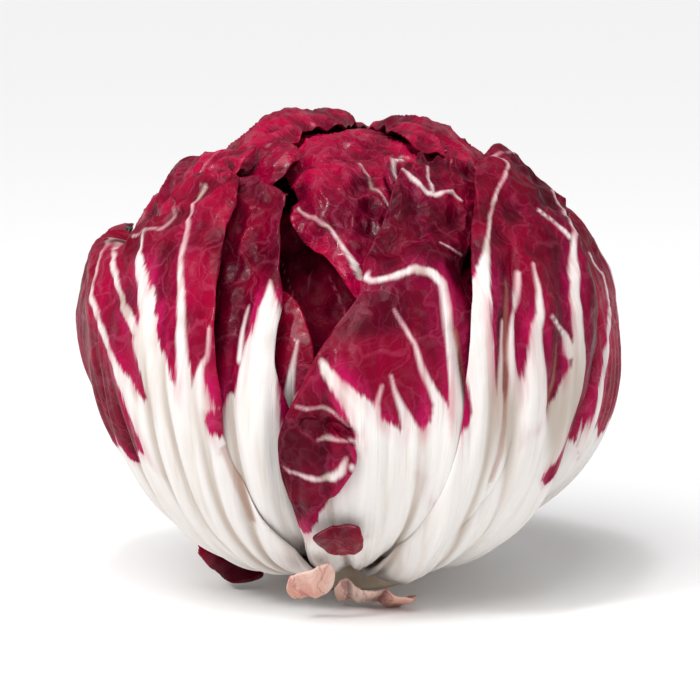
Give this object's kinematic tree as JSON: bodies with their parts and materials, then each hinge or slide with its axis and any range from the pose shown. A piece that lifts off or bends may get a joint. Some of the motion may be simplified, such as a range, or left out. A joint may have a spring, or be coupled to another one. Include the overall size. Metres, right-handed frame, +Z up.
{
  "type": "radicchio head",
  "caption": "Round head of red radicchio: loose wine-red leaves with fans of white ribs round a closed heart, standing on its cut stem.",
  "frame": {"origin": "centre of the stem's cut face, on the surface that the head stands on", "axes": "+Z up through the head, -Y towards the front seen in the picture, +X to its right"},
  "size_m": [0.121, 0.1273, 0.1044],
  "materials": {
    "leaf": "waxy, semi-gloss, wine red with white ribs",
    "inner_leaf": "waxy, semi-gloss, dark red",
    "stem_flesh": "matt cut flesh, cream",
    "dry_leaf": "matt, wilted, pale pink and brown"
  },
  "bodies": {
    "root": {"stem": "stem_flesh", "heart": "inner_leaf", "leaf_crown": "leaf", "leaf_crown_rib": "leaf", "leaf_gap": "leaf", "leaf_rear_right": "leaf", "leaf_rear_left": "leaf", "leaf_shoulder": "leaf", "leaf_left_inner": "leaf", "leaf_far_right": "leaf", "leaf_front": "leaf", "leaf_left": "leaf", "leaf_right": "leaf", "scrap_left": "leaf", "scrap_front": "leaf", "scrap_husk": "dry_leaf", "scrap_low": "dry_leaf"}
  },
  "joints": []
}
